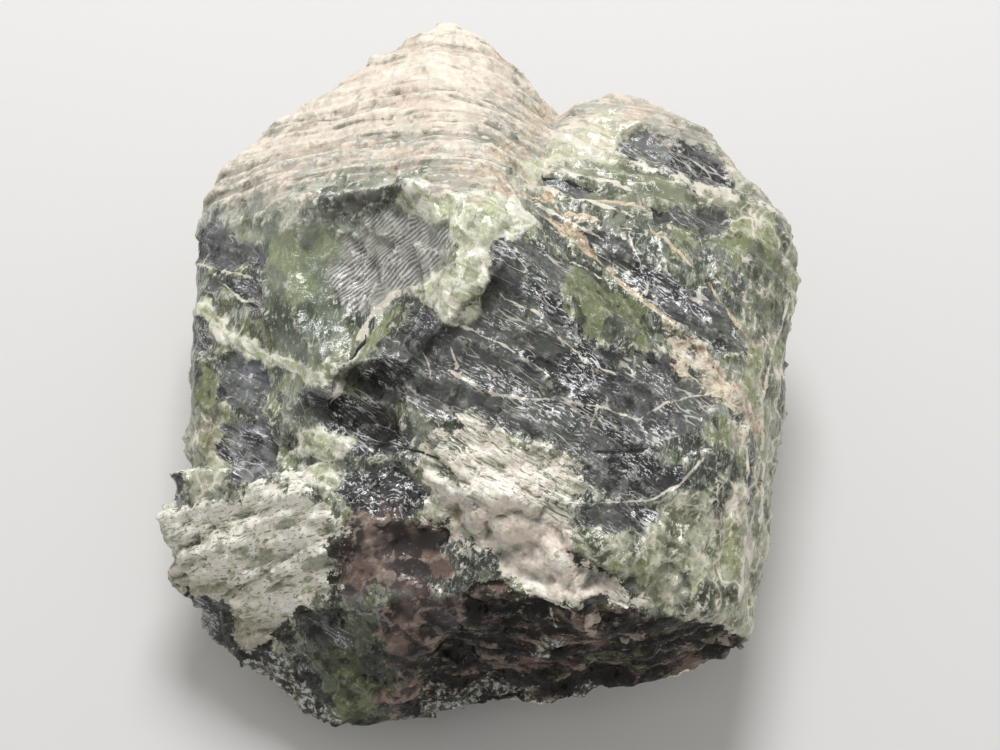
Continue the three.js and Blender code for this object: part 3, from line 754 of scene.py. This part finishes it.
# netted stone: green cells, each of its own shade, paler towards the cracks between them
CELL_NIGHT = (0.022, 0.03, 0.016)
CELL_GREEN = (0.15, 0.165, 0.09)
CELL_OLIVE = (0.31, 0.33, 0.165)
CELL_MILK = (0.61, 0.63, 0.48)
CELL_SPECK = (0.60, 0.61, 0.46)
CELL_PORE = (0.035, 0.05, 0.025)
CRACK_GREEN = (0.50, 0.49, 0.36)
CRACK_CREAM = (0.83, 0.77, 0.63)
near_the_front = between(northward, -3, -11)
crack, crack_cells = cells(1.9, (1, 1.8, 1.3), 0.6)
shade_pick = pick_of(crack_cells)
milky = worked("MULTIPLY_ADD", near_the_front, 0.10, field_of("slant_17"))
celled = coated(
    CELL_NIGHT,
    (shade_pick, 0.25, 0.5, 1, CELL_GREEN),
    (shade_pick, 0.68, 0.8, 1, CELL_OLIVE),
    (milky, 0.56, 0.67, 0.65, CELL_MILK),
    (fine_grain, 0.54, 0.65, 0.6, CELL_SPECK),
    (fine_grain, 0.43, 0.34, 0.6, CELL_PORE),
)
crack_open = swayed(crack, field_of("grain_16"), -0.22)
crack_open = swayed(crack_open, fine_grain, -0.16)
to_a_side = worked("ABSOLUTE", eastward)
net_share = between(field_of("grain_22"), 0.38, 0.54, 0.3, 1)
net_share = both(between(to_a_side, 13, 17, 0.3, 1), net_share)
wide_crack = both(between(crack_open, 0.22, 0.05, 0, 0.7), net_share)
thin_crack = both(between(crack_open, 0.075, 0.01, 0, 0.95), net_share)
celled = laid(wide_crack, celled, CRACK_GREEN)
celled = laid(thin_crack, celled, CRACK_CREAM)
body = laid(both(netted_here, 0.9), body, celled)

# and deep green, in small flats
FOREST_NIGHT = (0.035, 0.045, 0.028)
FOREST_GREEN = (0.115, 0.135, 0.085)
FERN = (0.19, 0.22, 0.095)
FOREST_PORE = (0.03, 0.04, 0.025)
FOREST_SPECK = (0.36, 0.38, 0.24)
deepened = coated(
    FOREST_NIGHT,
    (field_of("grain_16"), 0.40, 0.60, 1, FOREST_GREEN),
    (flat_pick, 0.56, 0.68, 0.7, FERN),
    (small_pick, 0.30, 0.22, 0.8, FOREST_PORE),
    (fine_grain, 0.56, 0.68, 0.45, FOREST_SPECK),
)
body = laid(both(deep_here, 0.8), body, deepened)

# rippled stone, where the break ran in short waves
WAVE = 0.27
WAVE_WAY = (-0.62, 0.74, 0.26)
TROUGH = (0.21, 0.21, 0.195)
WAVE_CREST = (0.62, 0.61, 0.58)
WAVE_GREY = (0.40, 0.40, 0.36)
wave_place = swayed(measured(WAVE_WAY)[0], field_of("grain_32"), 1.7)
waves = worked("SINE", both(wave_place, 2 * math.pi / WAVE))
waves = swayed(worked("MULTIPLY_ADD", waves, 0.5, 0.5), fine_grain, 1.2)
rippled = coated(
    TROUGH,
    (waves, 0.15, 0.8, 1, WAVE_CREST),
    (field_of("grain_22"), 0.44, 0.58, 0.85, WAVE_GREY),
)
body = laid(both(ripples_here, 0.9), body, rippled)

# dark glass: near black, with grey clouds, and white flecks strung along the fractures, partly real
# specks and partly painted sparkle
NIGHT = (0.017, 0.018, 0.021)
SMOKE = (0.062, 0.066, 0.074)
FLECK_AND_SPARKLE = (0.80, 0.82, 0.85)
SMOKE_GREEN = (0.14, 0.15, 0.14)
PANE_GREEN = (0.075, 0.087, 0.07)
SLATE = (0.24, 0.265, 0.30)
FRONT_HAZE = (0.26, 0.26, 0.255)
BACK_HAZE = (0.23, 0.24, 0.225)
FLAT_GREY = (0.17, 0.17, 0.17)
DIM_PANE = (0.10, 0.112, 0.095)
BLACK_PANE = (0.012, 0.013, 0.015)
VEIN = (0.62, 0.60, 0.54)
dark = coated(
    NIGHT,
    (field_of("grain_16"), 0.35, 0.58, 1, SMOKE),
    (field_of("slant_34"), 0.5, 0.62, 0.55, SMOKE_GREEN),
    (flat_pick, 0.55, 0.65, 0.7, PANE_GREEN),
)
in_the_west = both(between(eastward, -11, -14), between(northward, 6, 1))
dark = laid(both(in_the_west, between(cloud, 0.44, 0.62, 0, 0.6)), dark, SLATE)
in_front = both(near_the_front, between(cloud, 0.40, 0.58, 0, 0.7))
dark = laid(in_front, dark, FRONT_HAZE)
at_the_back = both(between(northward, 9, 13), between(cloud, 0.36, 0.56, 0, 0.6))
dark = laid(at_the_back, dark, BACK_HAZE)
pane_pick = pick_of(cells(3.6, (1.7, 0.9, 1), 0.7, along_fracture)[1])
sheets = grain(0.5, 3, stretch=(4, 0.8, 2), twist=0.3, roughness=0.72, frame_of=along_fracture)
dark = coated(
    dark,
    (small_pick, 0.82, 0.9, 0.6, FLAT_GREY),
    (pane_pick, 0.62, 0.68, 0.6, DIM_PANE),
    (pane_pick, 0.28, 0.22, 0.85, BLACK_PANE),
    (sheets, 0.52, 0.64, 0.42, FRONT_HAZE),
    (sheets, 0.43, 0.35, 0.6, NIGHT),
)
needles = grain(0.2, 2, stretch=(3, 0.8, 1.4), twist=0.25, roughness=0.75, frame_of=along_fracture)
fleck_and_sparkle_patches = between(field_of("slant_17"), 0.44, 0.60, 0.03, 1)
flecks_and_sparkle = both(between(needles, 0.545, 0.59), fleck_and_sparkle_patches)
dark = laid(both(flecks_and_sparkle, in_the_south), dark, FLECK_AND_SPARKLE)
veins = grain(1.5, 2, stretch=(6, 0.9, 2), roughness=0.6, frame_of=along_fracture)
veins = between(worked("ABSOLUTE", worked("SUBTRACT", veins, 0.5)), 0.016, 0.005)
veins = both(veins, between(field_of("grain_22"), 0.44, 0.56, 0, 0.9))
dark = laid(veins, dark, VEIN)
# the black gloss: its wrinkles picked out with painted glints
GLOSS_BLACK = (0.04, 0.042, 0.047)
GLINT = (0.90, 0.92, 0.93)
wrinkle = worked("ABSOLUTE", worked("SUBTRACT", grain(0.55, 2, stretch=(1.5, 0.8, 1), twist=0.5), 0.5))
glints = both(between(wrinkle, 0.045, 0.012), between(fine_grain, 0.44, 0.54))
wrinkled = laid(glints, GLOSS_BLACK, GLINT)
dark = laid(between(field_of("gleam"), 0.0, 0.5, 0, 0.9), dark, wrinkled)
body = laid(glass_here, body, dark)

# brown stone: smooth lumps in the hollow, and the broken front, its own dark brown made near black by
# painted shade, with brown ledges and painted highlight on their crests
BROWN = (0.11, 0.082, 0.077)
LIT_BROWN = (0.23, 0.158, 0.13)
UMBER = (0.040, 0.029, 0.027)
PITCH = (0.010, 0.008, 0.007)
BROWN_SPECK = (0.36, 0.29, 0.25)
BROWN_EDGE_HIGHLIGHT = (0.38, 0.30, 0.25)
LEDGE_BROWN = (0.24, 0.165, 0.135)
LEDGE_HIGHLIGHT = (0.27, 0.21, 0.175)
LEDGE_GREEN = (0.12, 0.135, 0.08)
LEDGE_LINE = (0.42, 0.35, 0.29)
BRIGHT_FLAT = (0.45, 0.38, 0.33)
FOOT_DARK = (0.07, 0.075, 0.055)
FOOT_PALE = (0.40, 0.38, 0.33)
FOOT_WHITE = (0.72, 0.75, 0.75)
earth = coated(
    UMBER,
    (field_of("grain_22"), 0.40, 0.56, 1, BROWN),
    (field_of("leaf_24"), 0.48, 0.60, 0.9, LIT_BROWN),
    (fine_grain, 0.58, 0.72, 0.6, BROWN_SPECK),
    (fine_grain, 0.42, 0.32, 0.6, UMBER),
    # painted highlight on the fine crests of the lumps
    (field_of("crest_fine"), 0.008, 0.035, 0.6, BROWN_EDGE_HIGHLIGHT),
)
body = laid(brown_here, body, earth)
along_ledges = vector_work("DIVIDE", in_mm, (3.2, 1, 1))
ledge_lines = grain(0.34, 3, stretch=(1, 1, 1), roughness=0.65, frame_of=along_ledges)
broken = coated(
    PITCH,
    (field_of("ledge_15"), 0.46, 0.58, 1, UMBER),
    (field_of("ledge_15"), 0.56, 0.66, 0.8, LEDGE_BROWN),
    (field_of("crest"), 0.07, 0.22, 0.7, LEDGE_HIGHLIGHT),
    (field_of("ledge_19"), 0.58, 0.68, 0.7, LEDGE_GREEN),
    (ledge_lines, 0.58, 0.68, 0.8, LEDGE_LINE),
    (ledge_lines, 0.44, 0.36, 0.8, PITCH),
    (small_pick, 0.955, 0.965, 0.9, BRIGHT_FLAT),
)
body = laid(front_here, body, broken)
crumbly = coated(
    FOOT_DARK,
    (fine_grain, 0.42, 0.6, 1, FOOT_PALE),
    (fine_grain, 0.52, 0.60, 0.85, FOOT_WHITE),
)
body = laid(both(foot_here, 0.85), body, crumbly)

# pale green, where the stone is chipped thin and the light comes back through it
PALE_GREEN = (0.74, 0.75, 0.57)
MILK = (0.92, 0.90, 0.79)
CHIP_GREEN = (0.40, 0.435, 0.26)
CHIP_FLAT = (0.46, 0.51, 0.29)
CHIP_DARK = (0.22, 0.25, 0.15)
CHIP_HAIR = (0.93, 0.92, 0.84)
CHIP_PORE = (0.24, 0.27, 0.17)
CHIP_RIM = (0.92, 0.90, 0.80)
WARM_CHIP = (0.52, 0.48, 0.34)
PALE_LINES = (4.5, 0.8, 1.5)
pale_grain = grain(0.7, 3, stretch=PALE_LINES, roughness=0.65, frame_of=along_fracture)
thin = coated(
    CHIP_GREEN,
    (pale_grain, 0.36, 0.48, 1, PALE_GREEN),
    (pale_grain, 0.45, 0.56, 0.9, MILK),
    (flat_pick, 0.34, 0.30, 0.5, CHIP_FLAT),
    (small_pick, 0.24, 0.18, 0.5, CHIP_DARK),
    (hairs, 0.59, 0.67, 0.5, CHIP_HAIR),
    (fine_grain, 0.40, 0.30, 0.5, CHIP_PORE),
)
rim = both(between(field_of("pale"), 0.0, 0.06), between(field_of("pale"), 0.3, 0.14))
thin = laid(both(rim, 0.8), thin, CHIP_RIM)
thin = laid(between(eastward, 2.5, 5, 0, 0.5), thin, WARM_CHIP)
body = laid(pale_here, body, thin)

# torn stone: long cream blades with green and grey between them, and smooth pinkish lumps
CREAM = (0.90, 0.81, 0.67)
PINK_CREAM = (0.86, 0.71, 0.60)
WHITE = (0.97, 0.93, 0.86)
LEAF_GREEN = (0.45, 0.46, 0.35)
LOBE_CREAM = (0.95, 0.92, 0.80)
LEAF_GAP = (0.09, 0.105, 0.075)
THREAD_GAP = (0.13, 0.15, 0.10)
BAND_GREEN = (0.23, 0.26, 0.165)
LOW_TAN = (0.27, 0.235, 0.16)
LUMP_GREY = (0.56, 0.53, 0.50)
LUMP_PINK = (0.94, 0.81, 0.71)
LUMP_GREEN = (0.31, 0.325, 0.24)
LUMP_SHADE = (0.20, 0.185, 0.155)
LOBE_GREEN = (0.58, 0.60, 0.44)
leaf_grain = grain(0.62, 3, stretch=(4.2, 0.75, 1.8), twist=0.35, roughness=0.7, frame_of=along_leaves)
blade_pick = pick_of(cells(0.9, (4.2, 0.6, 1.8), 0.5, along_leaves)[1])
leafy = swayed(swayed(leaf_grain, field_of("leaf_24"), 0.6), blade_pick, 0.4, 0.4)
# raised blades lighter and the gaps between them darker: partly their own colour, partly painted
# highlight and shade
leafy = worked("MULTIPLY_ADD", field_of("crest"), 0.7, leafy)
in_lobe_here = between(eastward, -4, -9)
leaf_cream = laid(between(field_of("grain_32"), 0.47, 0.6, 0, 0.6), CREAM, PINK_CREAM)
leaf_cream = laid(in_lobe_here, leaf_cream, LOBE_CREAM)
leaf_green = laid(in_lobe_here, LEAF_GREEN, LOBE_GREEN)
leafy = worked("MULTIPLY_ADD", in_lobe_here, 0.05, leafy)
threads = grain(0.19, 2, stretch=(4.6, 0.75, 2.2), twist=0.3, roughness=0.7, frame_of=along_leaves)
torn_leaves = coated(
    leaf_green,
    (leafy, 0.37, 0.56, 1, leaf_cream),
    (leafy, 0.56, 0.70, 0.7, WHITE),
    (leafy, 0.33, 0.24, 0.85, LEAF_GAP),
    (threads, 0.52, 0.59, 0.95, WHITE),
    (threads, 0.45, 0.38, 0.8, THREAD_GAP),
    (field_of("leaf_band"), 0.57, 0.64, 0.7, BAND_GREEN),
    (field_of("leaf_band"), 0.42, 0.34, 0.35, WHITE),
)
low_down = between(upward, 11.0, 5.5, 0, 0.8)
torn_leaves = laid(both(low_down, in_lobe_here), torn_leaves, LOW_TAN)
pillow_grain = swayed(field_of("grain_13"), fine_grain, 0.3)
pillow = coated(
    LUMP_GREY,
    (pillow_grain, 0.36, 0.48, 1, LUMP_PINK),
    (pillow_grain, 0.56, 0.62, 0.85, WHITE),
    (field_of("grain_16"), 0.55, 0.63, 0.6, LUMP_GREEN),
    (field_of("crest"), -0.02, -0.15, 0.6, LUMP_SHADE),
)
torn_leaves = laid(both(soft_here, 0.75), torn_leaves, pillow)
body = laid(fibres_here, body, torn_leaves)

# the rind of the end faces: cream, with growth lines right across and grey-green between them
RIND_CREAM = (0.77, 0.69, 0.58)
RIND_WHITE = (0.86, 0.79, 0.70)
RIND_DIRT = (0.42, 0.385, 0.32)
RIND_GREEN = (0.19, 0.205, 0.155)
RIND_PINK = (0.68, 0.55, 0.46)
RIND_TAN = (0.80, 0.64, 0.48)
RIND_GREY = (0.36, 0.355, 0.31)
lines = grain(0.38, 3, stretch=(16, 1, 16), roughness=0.62, frame_of=along_layers)
spotty = swayed(field_of("grain_9"), fine_grain, 0.45)
lines = made("ShaderNodeMix", {0: field_of("end_on"), 2: lines, 3: field_of("grain_16")}).outputs[0]
rind_tone = worked("MULTIPLY_ADD", lines, 0.55, both(spotty, 0.6))
rind_tone = worked("SUBTRACT", rind_tone, between(field_of("rind"), 5.0, 0.6, 0.025, 0.105))
rind_tone = swayed(rind_tone, field_of("layer_16"), 0.6)
# the ridges lighter and the grooves greener: partly the growth lines' own colour, partly painted
# highlight and shade
rind_tone = worked("MULTIPLY_ADD", field_of("crest"), 0.5, rind_tone)
rind_colour = coated(
    RIND_DIRT,
    (rind_tone, 0.40, 0.56, 1, RIND_CREAM),
    (rind_tone, 0.56, 0.70, 0.9, RIND_WHITE),
    (rind_tone, 0.44, 0.31, 0.85, RIND_GREEN),
    (field_of("grain_32"), 0.5, 0.62, 0.5, RIND_PINK),
    (lines, 0.56, 0.64, 0.45, RIND_TAN),
)
by_the_edge = both(between(field_of("rind"), 4.6, 1.8), between(spotty, 0.47, 0.58, 0, 0.8))
rind_colour = laid(by_the_edge, rind_colour, RIND_GREY)
body = laid(rind_here, body, rind_colour)

# rust, in the notch between the crystals and along some of the seams
RUST = (0.40, 0.265, 0.155)
TAN = (0.70, 0.59, 0.44)
rusty = laid(between(fine_grain, 0.36, 0.54), RUST, TAN)
stained = both(stain_here, between(field_of("grain_16"), 0.36, 0.58, 0.2, 0.9))
stained = both(stained, between(threads, 0.46, 0.56, 0.4, 1))
body = laid(stained, body, rusty)


def seam_of(name, raggedness, thick):
    """1 on a seam, which thins and thickens along its course."""
    aside = worked("ABSOLUTE", worked("MULTIPLY_ADD", torn, raggedness, field_of(name + "_side")))
    near = between(field_of(name + "_reach"), 3.5, 2.5)
    return both(between(worked("SUBTRACT", aside, thick), 0.25, -0.25), near)


body = laid(seam_of("rusty", 1.4, between(field_of("grain_16"), 0.32, 0.66, -0.1, 1.6)), body, rusty)

# pale seams, the nets of pale cracks, and the open cracks
SEAM = (0.76, 0.72, 0.62)
OPEN_CRACK = (0.012, 0.011, 0.010)
on_seam = seam_of("seam", 1.1, between(cloud, 0.32, 0.68, -0.1, 1.1))
net_amount = worked("MULTIPLY_ADD", netted_here, 0.2, worked("SUBTRACT", field_of("grain_22"), 0.1))
on_net = both(between(crack, 0.04, 0.012), between(net_amount, 0.48, 0.60))
on_net = both(on_net, net_share)
fine_net = cells(0.95, (1, 1.4, 1), 0.25)[0]
fine_amount = worked("MULTIPLY_ADD", netted_here, 0.1, worked("SUBTRACT", field_of("grain_16"), 0.08))
on_fine_net = both(between(fine_net, 0.07, 0.02), between(fine_amount, 0.5, 0.62))
earthy = either(brown_here, front_here)
bare = either(rind_here, calm_here, earthy, deep_here, both(glass_here, 0.7))
nets = both(either(both(on_net, 0.95), both(on_fine_net, 0.6)), worked("SUBTRACT", 1.0, bare))
body = laid(either(on_seam, nets), body, SEAM)
body = laid(seam_of("crack", 0.5, 0.9), body, OPEN_CRACK)

# the worn ridges with painted highlight, painted shade in the grooves, and painted deep shade on the
# front
WORN_AND_HIGHLIGHT = (0.80, 0.78, 0.68)
GROOVE_SHADE = (0.06, 0.055, 0.045)
SHADE = (0.014, 0.013, 0.011)
# pale on the fine ridges: rubbed edges, and painted highlight that fades on the faces turned to the
# front
worn_and_highlit = both(between(field_of("crest_fine"), 0.008, 0.04), between(fine_grain, 0.44, 0.58))
worn_and_highlit = both(worn_and_highlit, between(field_of("shade"), 0.1, 0.8, 1, 0.35))
worn_and_highlit = both(worn_and_highlit, between(on_shoulder, 0, 1, 1, 0.6))
unworn_unhighlit = either(earthy, both(either(glass_here, deep_here), 0.75))
body = laid(both(worn_and_highlit, between(unworn_unhighlit, 0, 1, 0.8, 0.15)), body, WORN_AND_HIGHLIGHT)
# painted shade in the grooves, darker where the skin sinks, left off beside the rind
groove_shade = between(field_of("crest"), -0.05, -0.3, 0, 0.6)
groove_shade = both(groove_shade, between(by_the_rind, 0, 0.6, 1, 0))
body = laid(groove_shade, body, GROOVE_SHADE)
# painted shade on the faces turned to the front and in the pit, laid in patches, kept off the torn and
# netted stone and halved on the brown and deep green
patchy = between(swayed(field_of("grain_16"), fine_grain, 0.4), 0.56, 0.44, 0.12, 0.95)
half_lit = both(either(brown_here, deep_here), 0.4)
in_the_light = either(fibres_here, netted_here, half_lit)
patchy = both(patchy, between(in_the_light, 0, 1, 1, 0.1))
body = laid(both(field_of("shade"), patchy), body, SHADE)

# gloss: glassy on the fresh breaks, dull on the rind and the rust; small flats catch the light
GLASSY = 0.24
MATTE = 0.6
STONE_BEND = 1.63
dull = either(rind_here, both(fibres_here, 0.7), stain_here)
gloss = swayed(between(dull, 0, 1, GLASSY, MATTE), fine_grain, 0.3)
gleams = between(field_of("gleam"), 0.0, 0.5)
gloss = both(gloss, between(gleams, 0, 1, 1, 0.45))
rippling = both(waves, ripples_here)
fine_bump = worked("MULTIPLY_ADD", rippling, 0.5, grain(0.28, 2, roughness=0.7))
bump = made("ShaderNodeBump", {"Height": fine_bump, "Strength": 0.5, "Distance": 0.1 * MM})


def tilt_of(colour, amount):
    """A small random turn of the surface for each of some cells."""
    turn = vector_work("SUBTRACT", colour, (0.5,) * 3)
    return made("ShaderNodeVectorMath", {0: turn, "Scale": amount}, operation="SCALE").outputs[0]


smooth = either(calm_here, brown_here, on_shoulder)
roughly = worked("ADD", between(smooth, 0, 1, 1, 0.45), both(gleams, 0.8))
turned = vector_work("ADD", bump.outputs[0], tilt_of(small_cells, both(roughly, 0.42)))
glint_cells = cells(0.36, (1, 1.4, 1))[1]
turned = vector_work("ADD", turned, tilt_of(glint_cells, both(roughly, 0.5)))
turned = made("ShaderNodeVectorMath", {0: turned}, operation="NORMALIZE").outputs[0]
shader = made(
    "ShaderNodeBsdfPrincipled",
    {"Base Color": body, "Roughness": gloss, "Normal": turned},
)
shader.inputs["IOR"].default_value = STONE_BEND
sheltered = either(front_here, both(field_of("shade"), 0.8))
feed(shader.inputs["Specular IOR Level"], between(sheltered, 0, 1, 0.5, 0.15))
made("ShaderNodeOutputMaterial", {"Surface": shader.outputs[0]})
skin.materials.append(finish)
stone.data.name = "apatite_stone"
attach(stone, "root")
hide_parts("apatite_crystals")

# ---- The table it lies on
# A plain sheet of matt pale card, laid flat under the stone. It is wide enough to pass behind
# it from every side; from low down, its far edge shows as the horizon.
FLOOR_SIZE = 3.0
FLOOR_GREY = (0.72, 0.72, 0.72, 1)
FLOOR_ROUGHNESS = 0.9
floor_mesh = bpy.data.meshes.new("floor")
floor_shape = bmesh.new()
bmesh.ops.create_grid(floor_shape, x_segments=1, y_segments=1, size=FLOOR_SIZE)
floor_shape.to_mesh(floor_mesh)
floor_shape.free()
floor = bpy.data.objects.new("floor", floor_mesh)
bpy.context.scene.collection.objects.link(floor)
paper = bpy.data.materials.new("paper")
paper.use_nodes = True
paper.node_tree.nodes["Principled BSDF"].inputs["Base Color"].default_value = FLOOR_GREY
paper.node_tree.nodes["Principled BSDF"].inputs["Roughness"].default_value = FLOOR_ROUGHNESS
floor_mesh.materials.append(paper)

# ---- Light and camera
# A softbox stands behind the stone, well above it, and pale room light comes from all round.
# The camera looks down on the stone from the front, through a long lens.
SOFTBOX_SIZE = 0.12
SOFTBOX_PLACE = Vector((0.0, 0.19, 0.26))
SOFTBOX_POWER = 0.80
STONE_MIDDLE = Vector((0, 0, 0.012))
ROOM_COLOUR = (1.0, 0.975, 0.94, 1)
ROOM_STRENGTH = 0.49
softbox = bpy.data.lights.new("softbox", "AREA")
softbox.shape = "SQUARE"
softbox.size = SOFTBOX_SIZE
softbox.energy = SOFTBOX_POWER
lamp = bpy.data.objects.new("softbox", softbox)
lamp.location = SOFTBOX_PLACE
lamp.rotation_euler = (STONE_MIDDLE - SOFTBOX_PLACE).to_track_quat("-Z", "Y").to_euler()
bpy.context.scene.collection.objects.link(lamp)
room = bpy.data.worlds.new("room")
room.use_nodes = True
room.node_tree.nodes["Background"].inputs["Color"].default_value = ROOM_COLOUR
room.node_tree.nodes["Background"].inputs["Strength"].default_value = ROOM_STRENGTH
bpy.context.scene.world = room
bpy.context.scene.view_settings.view_transform = "Standard"

LENS_LENGTH = 80
FILM_WIDTH = 36
SHIFT_ACROSS = 0.021
SHIFT_UP = 0.001
NEAREST_SEEN = 0.005
lens = bpy.data.cameras.new("camera")
lens.lens = LENS_LENGTH
lens.sensor_width = FILM_WIDTH
lens.shift_x = SHIFT_ACROSS
lens.shift_y = SHIFT_UP
lens.clip_start = NEAREST_SEEN
camera = bpy.data.objects.new("camera", lens)
camera.location = Vector(((AIM + VIEW_BACK * VIEW_DISTANCE) * MM).tolist())
camera.rotation_euler = (math.radians(90) - VIEW_TILT, 0, 0)
bpy.context.scene.collection.objects.link(camera)
bpy.context.scene.camera = camera
